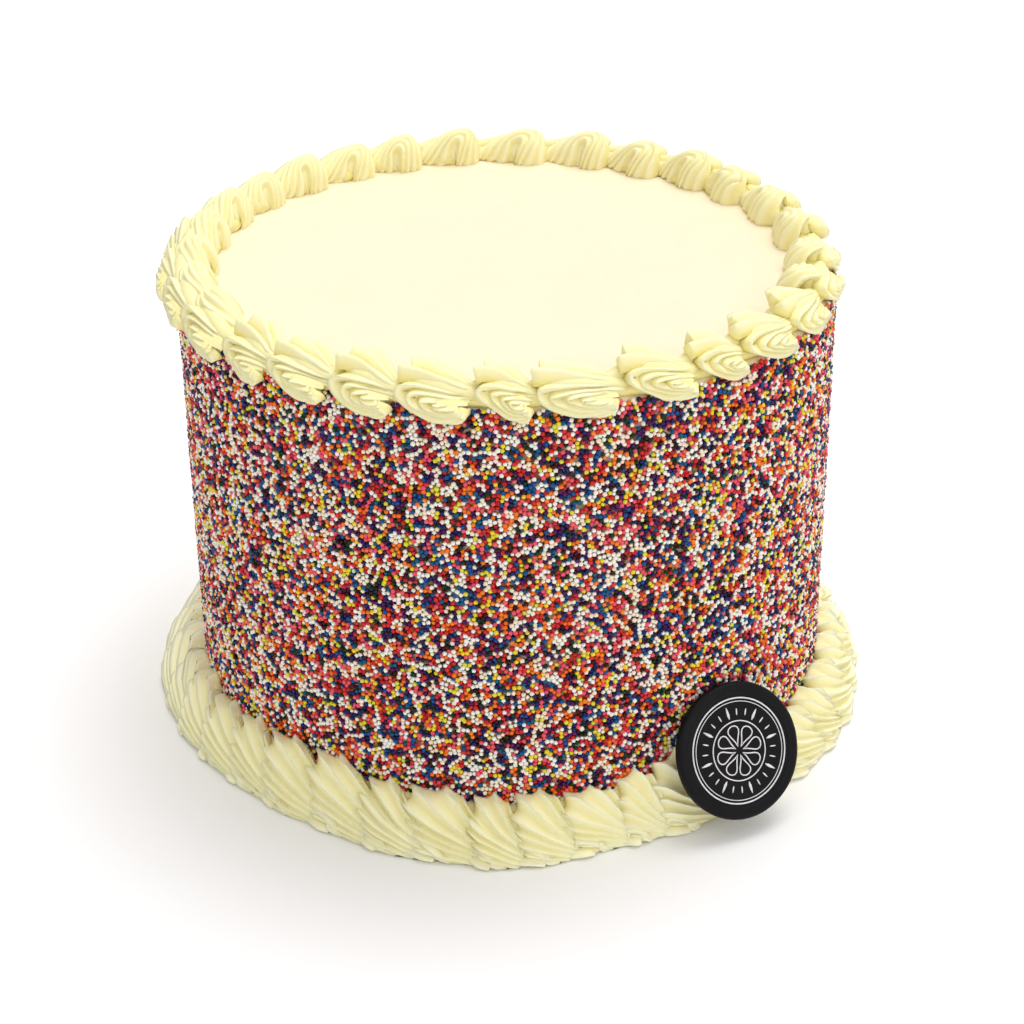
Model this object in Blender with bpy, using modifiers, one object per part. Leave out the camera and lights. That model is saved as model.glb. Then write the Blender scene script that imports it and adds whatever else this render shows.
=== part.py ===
"""Sprinkle cake: a tall round layer cake, its straight side coated with nonpareils,
a ring of piped shells on the top rim, a second ring of smaller shells at the foot,
and a round chocolate plaque that leans on the side with its foot in the icing.

Frame: metres, +Z up, the base on z = 0, the axis of the cake on x = y = 0.
The front of the cake faces -Y. Azimuths are measured from the front, towards +X.
"""
import math

import bpy

MM = 0.001
GAP = 0.3 * MM                     # clearance between pieces that touch

# --- cake -------------------------------------------------------------------
R_SIDE = 102.0 * MM                # radius over the sprinkles
H_TOP = 144.5 * MM                 # height of the smooth top
EDGE_ROUND = 3.0 * MM              # rounding of the top edge, under the border
FOOT_ROUND = 0.8 * MM
ROUND_STEPS = 2
CAKE_STEPS = 96

# --- ring of shells on the top rim ------------------------------------------
TOP_CENTRE = (-1.9 * MM, 0.3 * MM)  # the ring was piped a little off the axis
TOP_MID_R = 95.6 * MM
TOP_MID_Z = 146.6 * MM
TOP_OUT = 9.4 * MM                 # reach of the section outwards, inwards, up and down
TOP_IN = 8.8 * MM
TOP_UP = 10.6 * MM
TOP_DOWN = 5.6 * MM
TOP_RIDGES = 6                     # ridges round a shell, from the star tip
TOP_RIDGE = 0.85 * MM              # half the depth of the grooves between them
# azimuth of the blunt end of each shell, in degrees, as piped: uneven
TOP_HEADS = (5.2, 19.5, 32.5, 42.8, 56.5, 69.5, 82.5, 95.5, 109.3, 122.5,
             133.0, 145.7, 158.0, 171.5, 186.0, 198.5, 209.5, 221.5, 233.5, 245.0,
             257.0, 269.5, 282.5, 296.0, 310.0, 320.4, 332.7, 343.5, 356.0)

# --- ring of shells at the foot ---------------------------------------------
FOOT_HEADS = (0.0, 8.0, 17.2, 23.6)    # blunt ends at the front, azimuth in degrees
FOOT_LAST = (314.0, 324.5, 334.8, 342.6, 353.0)
FOOT_BETWEEN = 33                  # shells between those two lists, round the back
FOOT_CENTRE_R = 105.4 * MM         # middle of the quarter-round section
FOOT_CENTRE_Z = 6.0 * MM
FOOT_REACH = 12.2 * MM
FOOT_RISE = 13.6 * MM
FOOT_LINES = 10                    # lines along the ring that shape the section
FOOT_RIDGE = 0.8 * MM
SQUEEZE = 3.2 * MM                 # icing pushed out under the plaque
SQUEEZE_SPAN = 11.0                # degrees

# place along a shell and size there: a groove, a blunt end, a body, a drawn-out tail
TOP_SHELL = ((0.0, 0.78), (0.10, 0.99), (0.28, 1.05), (0.50, 1.00), (0.72, 0.91), (0.92, 0.81))
FOOT_SHELL = ((0.0, 0.80), (0.16, 1.04), (0.46, 1.00), (0.80, 0.86))
SHEAR = 0.20                       # shells lean forward on the outer side, share of a shell
TWIST = 0.55                       # turn of the ridges along a shell, radians

# --- plaque -----------------------------------------------------------------
PLAQUE_R = 20.6 * MM
PLAQUE_T = 3.4 * MM
PLAQUE_FACE = (67.9 * MM, -92.4 * MM, 25.6 * MM)   # centre of its front face
PLAQUE_TURN = 27.5                 # the way it faces, degrees from the front
PLAQUE_LEAN = 26.0                 # it leans back by this much
PLAQUE_RIM = 0.83                  # the raised rim starts here, share of the radius
PLAQUE_SUNK = 0.45 * MM
PLAQUE_STEPS = 40

# --- colours ----------------------------------------------------------------
ICING = (0.93, 0.87, 0.66)
SPRINKLED = (0.55, 0.36, 0.36)
DARK_CHOCOLATE = (0.030, 0.022, 0.026)


def clear_scene():
    for obj in list(bpy.data.objects):
        bpy.data.objects.remove(obj, do_unlink=True)


def collection(name):
    coll = bpy.data.collections.get(name) or bpy.data.collections.new(name)
    if coll.name not in {c.name for c in bpy.context.scene.collection.children}:
        bpy.context.scene.collection.children.link(coll)
    return coll


def into(coll, obj):
    for other in list(obj.users_collection):
        other.objects.unlink(obj)
    coll.objects.link(obj)
    return obj


def material(name, colour, roughness, subsurface=0.0):
    mat = bpy.data.materials.new(name)
    mat.use_nodes = True
    bsdf = mat.node_tree.nodes["Principled BSDF"]
    bsdf.inputs["Base Color"].default_value = (*colour, 1.0)
    bsdf.inputs["Roughness"].default_value = roughness
    bsdf.inputs["Metallic"].default_value = 0.0
    bsdf.inputs["Subsurface Weight"].default_value = subsurface
    return mat


def turned(name, profile, steps, coll):
    """A solid turned round Z from a profile of (r, z) points, top to bottom."""
    mesh = bpy.data.meshes.new(name)
    mesh.from_pydata([(r, 0.0, z) for r, z in profile],
                     [(i, i + 1) for i in range(len(profile) - 1)], [])
    obj = bpy.data.objects.new(name, mesh)
    coll.objects.link(obj)
    screw = obj.modifiers.new("turn", 'SCREW')
    screw.axis = 'Z'
    screw.steps = steps
    screw.render_steps = steps
    screw.use_merge_vertices = True
    screw.merge_threshold = 0.00002
    return obj


def arc(cx, cz, radius, start, end, steps):
    """Points of an arc, angles in degrees from +X, counter-clockwise if end > start."""
    return [(cx + radius * math.cos(math.radians(start + (end - start) * i / steps)),
             cz + radius * math.sin(math.radians(start + (end - start) * i / steps)))
            for i in range(steps + 1)]


def cake_profile(grow):
    r, top = R_SIDE + grow, H_TOP + grow
    edge = EDGE_ROUND + grow
    low = -grow * 4
    pts = [(0.0, top)]
    pts += arc(r - edge, top - edge, edge, 90.0, 0.0, ROUND_STEPS)
    if grow:
        pts += [(r, low), (0.0, low)]
    else:
        pts += arc(r - FOOT_ROUND, FOOT_ROUND, FOOT_ROUND, 0.0, -90.0, 1)
        pts += [(0.0, 0.0)]
    return pts


def foot_heads():
    """Blunt ends of all the foot's shells: those listed, and uneven ones round the back."""
    start, end = FOOT_HEADS[-1], FOOT_LAST[0]
    step = (end - start) / (FOOT_BETWEEN + 1)
    back = [start + step * (i + 1) + 0.9 * math.sin(2.4 * i + 0.5) + 0.5 * math.sin(5.3 * i)
            for i in range(FOOT_BETWEEN)]
    return list(FOOT_HEADS) + back + list(FOOT_LAST)


def ring_of_shells(name, around, shell_form, heads, place, coll):
    """A torus whose every vertex is moved to place(shell, azimuth, t, size, pitch, k)."""
    per_shell = len(shell_form)
    major = per_shell * len(heads)
    bpy.ops.mesh.primitive_torus_add(major_segments=major, minor_segments=around,
                                     major_radius=R_SIDE, minor_radius=10 * MM)
    obj = bpy.context.active_object
    obj.name = obj.data.name = name
    into(coll, obj)
    for v in obj.data.vertices:
        x, y, z = v.co
        turn = math.degrees(math.atan2(y, x)) % 360.0
        index = round(turn / 360.0 * major) % major
        section = math.degrees(math.atan2(z, math.hypot(x, y) - R_SIDE)) % 360.0
        k = round(section / 360.0 * around) % around
        shell, step = divmod(index, per_shell)
        t, size = shell_form[step]
        pitch = (heads[(shell + 1) % len(heads)] - heads[shell]) % 360.0
        azimuth, r, height, cx, cy = place(shell, heads[shell] + pitch * t, t, size, pitch, k)
        a = math.radians(azimuth)
        # azimuth 0 is the front (-Y); it grows towards +X
        v.co = (cx + r * math.sin(a), cy - r * math.cos(a), height)
    obj.data.update()
    return obj


def top_place(shell, azimuth, t, size, pitch, k):
    v = math.pi * k / TOP_RIDGES + TWIST * (t - 0.5)
    size *= 1.0 + 0.035 * math.sin(2.7 * shell + 0.6)
    ridge = TOP_RIDGE if k % 2 == 0 else -TOP_RIDGE
    out = TOP_OUT if math.cos(v) > 0 else TOP_IN
    up = TOP_UP if math.sin(v) > 0 else TOP_DOWN
    r = TOP_MID_R + (out * size + ridge) * math.cos(v)
    z = TOP_MID_Z + (up * size + ridge) * math.sin(v)
    azimuth += pitch * SHEAR * math.cos(v + 0.5)
    return azimuth, r, z, TOP_CENTRE[0], TOP_CENTRE[1]


def foot_place(shell, azimuth, t, size, pitch, k):
    size *= 1.0 + 0.03 * math.sin(1.9 * shell)
    reach, rise = FOOT_REACH * size, FOOT_RISE * size
    inner = R_SIDE + GAP
    if k == FOOT_LINES - 1:                        # corner at the cake's foot
        return azimuth - pitch * SHEAR * 0.5, inner, 0.0, 0.0, 0.0
    first = -math.asin(FOOT_CENTRE_Z / rise)       # where the section meets z = 0
    last = math.acos(max(-1.0, (inner - FOOT_CENTRE_R) / reach))
    share = k / (FOOT_LINES - 2)
    twisted = share
    if 0 < k < FOOT_LINES - 2:
        twisted += TWIST * 0.28 * (t - 0.5)
    b = first + (last - first) * min(max(twisted, 0.0), 1.0)
    ridge = (FOOT_RIDGE if k % 2 else -FOOT_RIDGE) * math.sin(math.pi * share) ** 0.5
    r = FOOT_CENTRE_R + (reach + ridge) * math.cos(b)
    z = FOOT_CENTRE_Z + (rise + ridge) * math.sin(b)
    plaque = math.degrees(math.atan2(PLAQUE_FACE[0], -PLAQUE_FACE[1]))
    off = (azimuth - plaque + 180.0) % 360.0 - 180.0
    low = max(0.0, 1.0 - z / (9.0 * MM))
    r += SQUEEZE * math.exp(-(off / SQUEEZE_SPAN) ** 2) * low
    if k == 0:
        z = 0.0
    if k == FOOT_LINES - 2:
        r = inner
    azimuth += pitch * SHEAR * (1.0 - 1.5 * share)
    return azimuth, max(r, inner), max(z, 0.0), 0.0, 0.0


def plaque_profile(grow):
    r, half = PLAQUE_R + grow, PLAQUE_T / 2 + grow
    edge = 1.1 * MM
    pts = [(0.0, half - (0.0 if grow else PLAQUE_SUNK))]
    if not grow:
        pts += [(PLAQUE_R * (PLAQUE_RIM - 0.03), half - PLAQUE_SUNK), (PLAQUE_R * (PLAQUE_RIM + 0.02), half)]
    pts += arc(r - edge, half - edge, edge, 90.0, 0.0, 2)
    pts += arc(r - edge * 0.6, -half + edge * 0.6, edge * 0.6, 0.0, -90.0, 2)
    pts += [(0.0, -half)]
    return pts


def put_plaque(obj):
    """Local +Z becomes the way the plaque faces; its front centre goes to PLAQUE_FACE."""
    turn, lean = math.radians(PLAQUE_TURN), math.radians(PLAQUE_LEAN)
    facing = (math.sin(turn) * math.cos(lean), -math.cos(turn) * math.cos(lean), math.sin(lean))
    obj.rotation_euler = (math.radians(90.0 - PLAQUE_LEAN), 0.0, turn)
    obj.location = [PLAQUE_FACE[i] - facing[i] * PLAQUE_T / 2 for i in range(3)]


def cut(obj, cutter):
    mod = obj.modifiers.new("clear_" + cutter.name, 'BOOLEAN')
    mod.operation = 'DIFFERENCE'
    mod.solver = 'EXACT'
    mod.object = cutter


def hide_cutter(obj):
    obj.hide_render = True
    obj.display_type = 'WIRE'


def smooth(obj, angle):
    mesh = obj.data
    mesh.shade_smooth()
    mesh.set_sharp_from_angle(angle=math.radians(angle))


def main():
    clear_scene()
    parts = collection("sprinkle_cake")
    cutters = collection("cutters")

    icing = material("icing", ICING, 0.45, 0.2)
    sprinkled = material("sprinkled_side", SPRINKLED, 0.55)
    chocolate = material("dark_chocolate", DARK_CHOCOLATE, 0.4)

    cake = turned("cake_body", cake_profile(0.0), CAKE_STEPS, parts)
    cake.data.materials.append(sprinkled)

    cake_cutter = turned("cake_cutter", cake_profile(GAP), CAKE_STEPS, cutters)
    hide_cutter(cake_cutter)

    plaque = turned("chocolate_plaque", plaque_profile(0.0), PLAQUE_STEPS, parts)
    plaque.data.materials.append(chocolate)
    put_plaque(plaque)
    plaque_cutter = turned("plaque_cutter", plaque_profile(GAP), PLAQUE_STEPS, cutters)
    put_plaque(plaque_cutter)
    hide_cutter(plaque_cutter)

    top = ring_of_shells("top_border", 2 * TOP_RIDGES, TOP_SHELL, TOP_HEADS, top_place, parts)
    top.data.materials.append(icing)
    smooth(top, 50.0)
    cut(top, cake_cutter)

    foot = ring_of_shells("bottom_border", FOOT_LINES, FOOT_SHELL, foot_heads(),
                          foot_place, parts)
    foot.data.materials.append(icing.copy())
    foot.data.materials[0].name = "icing_foot"
    smooth(foot, 50.0)
    cut(foot, plaque_cutter)

    bpy.context.view_layer.update()


main()
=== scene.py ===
"""Looks of the sprinkle cake: smooth cream icing, a side coated with nonpareils,
two rings of star-piped shells and a moulded chocolate plaque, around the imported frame."""

import math

import bpy
import numpy as np
from mathutils import Matrix, Vector


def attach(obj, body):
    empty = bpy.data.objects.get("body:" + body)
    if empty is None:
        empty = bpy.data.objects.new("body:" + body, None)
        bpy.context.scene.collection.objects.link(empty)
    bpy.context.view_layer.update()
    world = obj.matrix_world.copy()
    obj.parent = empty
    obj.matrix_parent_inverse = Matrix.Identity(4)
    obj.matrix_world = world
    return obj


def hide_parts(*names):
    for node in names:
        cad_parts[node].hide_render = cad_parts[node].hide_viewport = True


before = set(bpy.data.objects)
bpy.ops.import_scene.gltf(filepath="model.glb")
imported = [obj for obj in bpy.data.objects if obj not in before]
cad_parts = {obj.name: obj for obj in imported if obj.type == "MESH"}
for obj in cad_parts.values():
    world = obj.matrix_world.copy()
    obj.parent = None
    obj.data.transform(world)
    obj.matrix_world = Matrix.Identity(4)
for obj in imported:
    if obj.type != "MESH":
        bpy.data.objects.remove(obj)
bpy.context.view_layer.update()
MM = 0.001

# ------------------------------------------------------------------ sizes, in mm
R_SIDE = 102.0          # over the sprinkles
H_TOP = 144.5           # smooth top
BEAD_R = 0.735          # nonpareil radius
ICING_R = 101.0         # icing under the sprinkles
PLAQUE_FACE = (67.9, -92.4, 25.6)
PLAQUE_TURN, PLAQUE_LEAN = 27.5, 26.0
PLAQUE_R, PLAQUE_T = 20.6, 3.4

TOP_HEADS = (5.2, 19.5, 32.5, 42.8, 56.5, 69.5, 82.5, 95.5, 109.3, 122.5,
             133.0, 145.7, 158.0, 171.5, 186.0, 198.5, 209.5, 221.5, 233.5, 245.0,
             257.0, 269.5, 282.5, 296.0, 310.0, 320.4, 332.7, 343.5, 356.0)
FOOT_HEADS = (0.0, 8.0, 17.2, 23.6)
FOOT_LAST = (314.0, 324.5, 334.8, 342.6, 353.0)
FOOT_BETWEEN = 33


# ------------------------------------------------------------------ small helpers
def mesh_object(name, co, faces, mat, smooth=True, attributes=None):
    """co: n x 3 in mm. faces: list of integer arrays, each m x 3 or m x 4."""
    faces = [np.asarray(f, np.int32) for f in faces if len(f)]
    mesh = bpy.data.meshes.new(name)
    loops = np.concatenate([f.ravel() for f in faces])
    totals = np.concatenate([np.full(len(f), f.shape[1], np.int32) for f in faces])
    starts = np.concatenate([[0], np.cumsum(totals)[:-1]]).astype(np.int32)
    mesh.vertices.add(len(co))
    mesh.vertices.foreach_set("co", (np.asarray(co, float) * MM).astype(np.float32).ravel())
    mesh.loops.add(len(loops))
    mesh.loops.foreach_set("vertex_index", loops)
    mesh.polygons.add(len(totals))
    mesh.polygons.foreach_set("loop_start", starts)
    mesh.polygons.foreach_set("loop_total", totals)
    mesh.update(calc_edges=True)
    mesh.validate()
    if smooth:
        mesh.shade_smooth()
    for key, values in (attributes or {}).items():
        layer = mesh.attributes.new(key, 'FLOAT', 'POINT')
        layer.data.foreach_set("value", np.asarray(values, np.float32))
    mesh.materials.append(mat)
    obj = bpy.data.objects.new(name, mesh)
    bpy.context.scene.collection.objects.link(obj)
    return obj


def grid_faces(rows, cols, close_rows=False, close_cols=False, base=0, flip=False):
    r = np.arange(rows if close_rows else rows - 1)
    c = np.arange(cols if close_cols else cols - 1)
    r, c = np.meshgrid(r, c, indexing="ij")
    r2, c2 = (r + 1) % rows, (c + 1) % cols
    q = np.stack([r * cols + c, r * cols + c2, r2 * cols + c2, r2 * cols + c], -1).reshape(-1, 4)
    if flip:
        q = q[:, ::-1]
    return q + base


class Waves:
    """Smooth noise: a sum of plane waves with random directions."""

    def __init__(self, seed, count=18):
        rng = np.random.RandomState(seed)
        d = rng.normal(size=(count, 3))
        self.d = d / np.linalg.norm(d, axis=1)[:, None]
        self.k = rng.uniform(0.7, 1.5, count)
        self.phase = rng.uniform(0, 2 * math.pi, count)

    def __call__(self, p, scale):
        """p: n x 3 in mm; scale: the size of a bump in mm. About -1 to 1."""
        a = (np.asarray(p) @ self.d.T) * (2 * math.pi / scale) * self.k * 0.5 + self.phase
        return np.sin(a).sum(-1) / math.sqrt(len(self.k)) * 0.8


# ------------------------------------------------------------------ materials
def new_material(name):
    mat = bpy.data.materials.new(name)
    mat.use_nodes = True
    nt = mat.node_tree
    nt.nodes.clear()
    out = nt.nodes.new("ShaderNodeOutputMaterial")
    bsdf = nt.nodes.new("ShaderNodeBsdfPrincipled")
    nt.links.new(bsdf.outputs["BSDF"], out.inputs["Surface"])
    return mat, nt, bsdf


def noise_node(nt, scale, detail=3.0, rough=0.55):
    coord = nt.nodes.new("ShaderNodeTexCoord")
    node = nt.nodes.new("ShaderNodeTexNoise")
    node.inputs["Scale"].default_value = scale
    node.inputs["Detail"].default_value = detail
    node.inputs["Roughness"].default_value = rough
    nt.links.new(coord.outputs["Object"], node.inputs["Vector"])
    return node


def ramp_node(nt, source, stops):
    node = nt.nodes.new("ShaderNodeValToRGB")
    el = node.color_ramp.elements
    while len(el) < len(stops):
        el.new(0.5)
    for e, (pos, col) in zip(el, stops):
        e.position = pos
        e.color = (*col, 1.0)
    nt.links.new(source, node.inputs["Fac"])
    return node


def bump(nt, bsdf, source, distance, strength=1.0, below=None):
    node = nt.nodes.new("ShaderNodeBump")
    node.inputs["Strength"].default_value = strength
    node.inputs["Distance"].default_value = distance
    nt.links.new(source, node.inputs["Height"])
    if below is not None:
        nt.links.new(below.outputs["Normal"], node.inputs["Normal"])
    nt.links.new(node.outputs["Normal"], bsdf.inputs["Normal"])
    return node


def icing_material(name, light, deep, groove_shade, shade_key=None, sss=0.15):
    mat, nt, bsdf = new_material(name)
    big = noise_node(nt, 38.0, 2.0)
    tint = ramp_node(nt, big.outputs["Fac"], [(0.3, light), (0.72, deep)])
    colour = tint.outputs["Color"]
    # painted shade: by the per-point weights named in the key, the colour is mixed towards the third colour, a darker,
    # yellower tone standing in for the shade in the grooves and under the ridges
    if shade_key:
        attr = nt.nodes.new("ShaderNodeAttribute")
        attr.attribute_name = shade_key
        mix = nt.nodes.new("ShaderNodeMix")
        mix.data_type = 'RGBA'
        nt.links.new(attr.outputs["Fac"], mix.inputs["Factor"])
        nt.links.new(colour, mix.inputs["A"])
        mix.inputs["B"].default_value = (*groove_shade, 1.0)
        colour = mix.outputs["Result"]
    nt.links.new(colour, bsdf.inputs["Base Color"])
    bsdf.inputs["Roughness"].default_value = 0.46
    bsdf.inputs["Specular IOR Level"].default_value = 0.35
    bsdf.inputs["Subsurface Weight"].default_value = sss
    bsdf.inputs["Subsurface Radius"].default_value = (1.0, 0.8, 0.45)
    bsdf.inputs["Subsurface Scale"].default_value = 0.001
    fine = noise_node(nt, 900.0, 4.0, 0.6)
    first = bump(nt, bsdf, fine.outputs["Fac"], 0.00012, 0.5)
    soft = noise_node(nt, 160.0, 2.0)
    bump(nt, bsdf, soft.outputs["Fac"], 0.0004, 0.35, first)
    return mat


def deep_beads_and_shade(mat, palette):
    """Below the top edge the side's own skin is painted as a deeper layer of the same sugar, partly real beads and
    partly painted shade: its colours are darkened for the shade in the gaps between the beads.
    """
    nt = mat.node_tree
    bsdf = next(n for n in nt.nodes if n.type == 'BSDF_PRINCIPLED')
    top_colour = bsdf.inputs["Base Color"].links[0].from_socket
    coord = nt.nodes.new("ShaderNodeTexCoord")
    cells = nt.nodes.new("ShaderNodeTexVoronoi")
    cells.inputs["Scale"].default_value = 620.0
    nt.links.new(coord.outputs["Object"], cells.inputs["Vector"])
    split = nt.nodes.new("ShaderNodeSeparateColor")
    nt.links.new(cells.outputs["Color"], split.inputs["Color"])
    stops, at = [], 0.0
    for share, colour in palette:
        stops.append((at, colour))
        at += share
    pick = ramp_node(nt, split.outputs["Red"], stops)
    pick.color_ramp.interpolation = 'CONSTANT'
    where = nt.nodes.new("ShaderNodeAttribute")
    where.attribute_name = "coated"
    mix = nt.nodes.new("ShaderNodeMix")
    mix.data_type = 'RGBA'
    nt.links.new(where.outputs["Fac"], mix.inputs["Factor"])
    nt.links.new(top_colour, mix.inputs["A"])
    nt.links.new(pick.outputs["Color"], mix.inputs["B"])
    nt.links.new(mix.outputs["Result"], bsdf.inputs["Base Color"])


def bead_material(name, colour, dark, rough=0.38, sss=0.0):
    mat, nt, bsdf = new_material(name)
    vary = noise_node(nt, 520.0, 1.0)
    tint = ramp_node(nt, vary.outputs["Fac"], [(0.32, dark), (0.66, colour)])
    nt.links.new(tint.outputs["Color"], bsdf.inputs["Base Color"])
    bsdf.inputs["Roughness"].default_value = rough
    bsdf.inputs["Specular IOR Level"].default_value = 0.22
    if sss:
        bsdf.inputs["Subsurface Weight"].default_value = sss
        bsdf.inputs["Subsurface Scale"].default_value = 0.0006
    grain = noise_node(nt, 4200.0, 1.0)
    bump(nt, bsdf, grain.outputs["Fac"], 0.00004, 0.5)
    return mat


def srgb(r, g, b):
    return tuple(((c / 255 + 0.055) / 1.055) ** 2.4 if c > 10 else c / 255 / 12.92 for c in (r, g, b))


# One buttercream in three tones. The top border's is darker and yellower than the foot's as painted shade, and the
# foot's is lighter as painted light. The third colour of each piped icing is the painted shade in the grooves.
M_TOP = icing_material("smooth_icing", srgb(243, 228, 199), srgb(241, 225, 195), srgb(238, 226, 170), sss=0.1)
M_PIPE = icing_material("piped_icing_top", srgb(248, 242, 199), srgb(246, 239, 189), srgb(242, 229, 152), "crease_shade")
M_FOOT = icing_material("piped_icing_foot", srgb(254, 251, 218), srgb(252, 248, 209), srgb(248, 238, 176), "crease_shade")


# ------------------------------------------------------------------ shells piped with a star tip
# A shell is a bundle of ridges. Each ridge is a list of (s, r, z, size): s in mm along the
# ring from the shell's blunt end, r from the axis, z up; it starts under the shell, curls
# over at the blunt end and runs out in the tail, which the next shell's head covers.
PLEATS = (
    # the crown of a shell at the front: pleats cut off square at the blunt end
    (1.9, ((0.2, 97.1, 152.7, 2.05), (2.2, 97.1, 152.9, 2.05), (6.0, 97.2, 152.6, 2.0), (10.0, 97.5, 151.5, 1.9),
           (14.0, 97.8, 150.2, 1.7), (18.5, 98.1, 148.8, 1.35), (24.0, 98.1, 147.4, 0.7))),
    (1.7, ((2.9, 93.6, 153.4, 2.05), (5.2, 93.6, 153.5, 2.05), (9.0, 94.2, 152.9, 1.95), (13.0, 95.4, 151.4, 1.7),
           (18.0, 96.8, 149.4, 1.3), (23.0, 97.6, 147.6, 0.7))),
    (1.4, ((6.6, 90.4, 152.0, 1.8), (9.0, 90.6, 152.0, 1.85), (12.5, 91.8, 151.3, 1.75), (16.0, 93.6, 149.9, 1.5), (20.5, 95.6, 148.0, 0.9))),
)
CURLS = (
    # the curl on the outer side: nested bends, the outermost ending in the nub
    ((18.2, 103.5, 143.4, 1.3), (14.6, 103.4, 142.7, 1.55), (10.6, 103.2, 143.2, 1.65), (6.6, 102.9, 144.9, 1.7),
              (3.2, 102.3, 147.0, 1.75), (1.7, 101.7, 148.6, 1.8), (2.4, 101.0, 150.0, 1.8), (6.0, 100.6, 150.3, 1.75),
              (11.0, 100.2, 149.6, 1.55), (16.0, 99.7, 148.6, 1.3), (20.5, 99.2, 147.8, 1.0), (25.0, 99.0, 147.2, 0.6)),
    ((18.3, 104.1, 144.4, 1.1), (15.0, 104.1, 143.9, 1.25), (11.6, 104.0, 144.4, 1.3), (8.2, 103.9, 145.6, 1.3),
              (5.4, 103.5, 147.2, 1.35), (4.8, 103.0, 148.5, 1.35), (7.0, 102.4, 149.1, 1.35), (11.0, 101.7, 148.8, 1.25),
              (15.5, 100.9, 148.0, 1.1), (20.0, 100.1, 147.2, 0.9), (23.5, 99.8, 146.6, 0.5)),
    ((17.8, 104.5, 145.2, 0.95), (15.0, 104.6, 144.9, 1.1), (12.2, 104.6, 145.3, 1.15), (9.6, 104.4, 146.2, 1.15),
              (8.2, 104.1, 147.2, 1.2), (9.4, 103.6, 147.9, 1.2), (12.5, 102.9, 147.8, 1.1), (16.5, 101.9, 147.2, 0.95),
              (20.5, 100.8, 146.4, 0.6)),
    ((16.6, 104.8, 145.9, 0.8), (14.2, 104.9, 145.9, 0.95), (12.2, 104.8, 146.3, 1.0), (11.6, 104.6, 146.9, 1.0),
              (13.4, 104.1, 147.0, 0.95), (16.5, 103.2, 146.5, 0.8), (19.5, 102.2, 145.9, 0.5)),
    ((14.0, 104.2, 145.0, 0.9), (16.8, 104.6, 144.6, 1.1), (18.9, 104.1, 143.6, 1.2), (18.2, 103.5, 142.3, 1.15),
              (15.2, 103.1, 141.7, 1.0), (11.8, 102.8, 142.3, 0.7)),
)
# the icing inside a shell, under its ridges
TOP_FILL = (
    ((5.0, 97.0, 146.4, 2.6), (4.4, 97.0, 148.4, 2.9), (6.0, 97.0, 149.3, 3.3), (11.0, 97.6, 148.8, 3.2), (16.0, 98.1, 147.6, 2.9), (22.5, 98.3, 146.9, 2.2)),
    ((17.5, 101.9, 144.2, 1.7), (12.5, 101.8, 144.8, 2.4), (7.6, 101.3, 146.4, 2.5), (6.8, 100.8, 147.4, 2.6), (11.0, 100.7, 147.2, 2.4), (17.0, 99.6, 146.8, 1.7)),
)
FRONT_FILL = ((-5.5, 96.6, 146.4, 2.2), (-1.5, 96.2, 147.2, 2.8), (3.0, 95.2, 148.2, 3.1), (8.0, 94.6, 148.6, 3.1), (14.0, 95.4, 147.6, 2.5), (19.0, 96.8, 147.0, 1.6))
# small hooks under a foot shell, as (s, r, z, size)
FOOT_HOOKS = (
    ((10.0, 113.4, 1.2, 0.9), (6.8, 112.9, 1.6, 1.2), (4.2, 112.2, 3.0, 1.3), (3.4, 111.6, 4.6, 1.3), (5.0, 112.4, 5.0, 1.25), (8.6, 113.8, 3.4, 1.1), (11.5, 114.8, 1.6, 0.7)),
    ((0.6, 112.0, 1.0, 0.9), (3.2, 113.6, 1.5, 1.3), (6.0, 114.9, 1.6, 1.4), (8.6, 115.3, 1.1, 0.9)),
    ((13.5, 113.8, 0.8, 0.8), (11.0, 114.6, 1.3, 1.0), (9.0, 114.2, 2.4, 1.1), (9.6, 113.6, 3.4, 0.9)),
)
# a foot shell is a fan: each ridge runs from a blunt end to its place in the tail, as
# (along the ring, down the section, height) and (along, down)
FOOT_ENDS = ((7.6, 19.8, 0.3), (5.2, 18.9, 0.7), (2.9, 17.0, 0.86), (1.2, 13.2, 0.95), (0.0, 9.6, 1.03), (-1.3, 5.4, 1.1), (1.0, -1.2, 1.08),
             (8.8, -3.2, 1.0), (14.6, 0.4, 0.88), (18.2, 5.6, 0.3))
FOOT_TAILS = ((11.5, 20.4), (14.5, 20.3), (18.0, 20.2), (20.8, 20.0), (22.4, 19.6), (22.2, 18.8), (20.8, 17.2), (20.2, 15.2), (20.4, 13.6), (20.8, 12.0))
FOOT_SECTION = ((101.6, 22.0), (101.7, 19.0), (102.4, 16.8), (104.2, 14.9), (106.5, 12.2), (108.7, 9.0), (110.6, 5.8), (112.1, 2.9), (113.1, 0.4), (113.5, -1.8))
FAN_ROWS = np.concatenate([np.linspace(0.04, 0.80, 14), [0.85, 0.89, 0.925, 0.955, 0.98, 1.0]])
FOOT_BED = ((99.5, 14.6), (102.6, 14.4), (105.2, 12.8), (107.9, 9.8), (110.4, 6.2), (112.4, 2.9), (113.4, 0.0), (107.0, 0.0), (100.6, 0.0), (99.0, 7.0))
# across one ridge: a crest outwards, the rest inside the shell
PLEAT = np.array([(0.0, 1.14), (0.36, 0.74), (0.86, 0.12), (1.38, -0.7), (0.0, -2.3), (-1.38, -0.7), (-0.86, 0.12), (-0.36, 0.74)])
CURL = np.array([(0.0, 1.12), (0.38, 0.76), (0.88, 0.18), (1.45, -0.5), (0.0, -1.2), (-1.45, -0.5), (-0.88, 0.18), (-0.38, 0.76)])
FIN = np.array([(0.0, 1.2), (0.27, 0.66), (0.62, -0.1), (1.25, -1.15), (0.0, -1.6), (-1.25, -1.15), (-0.62, -0.1), (-0.27, 0.66)])
ROUND = np.array([(math.sin(a), math.cos(a)) for a in np.arange(8) * math.pi / 4])


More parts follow.
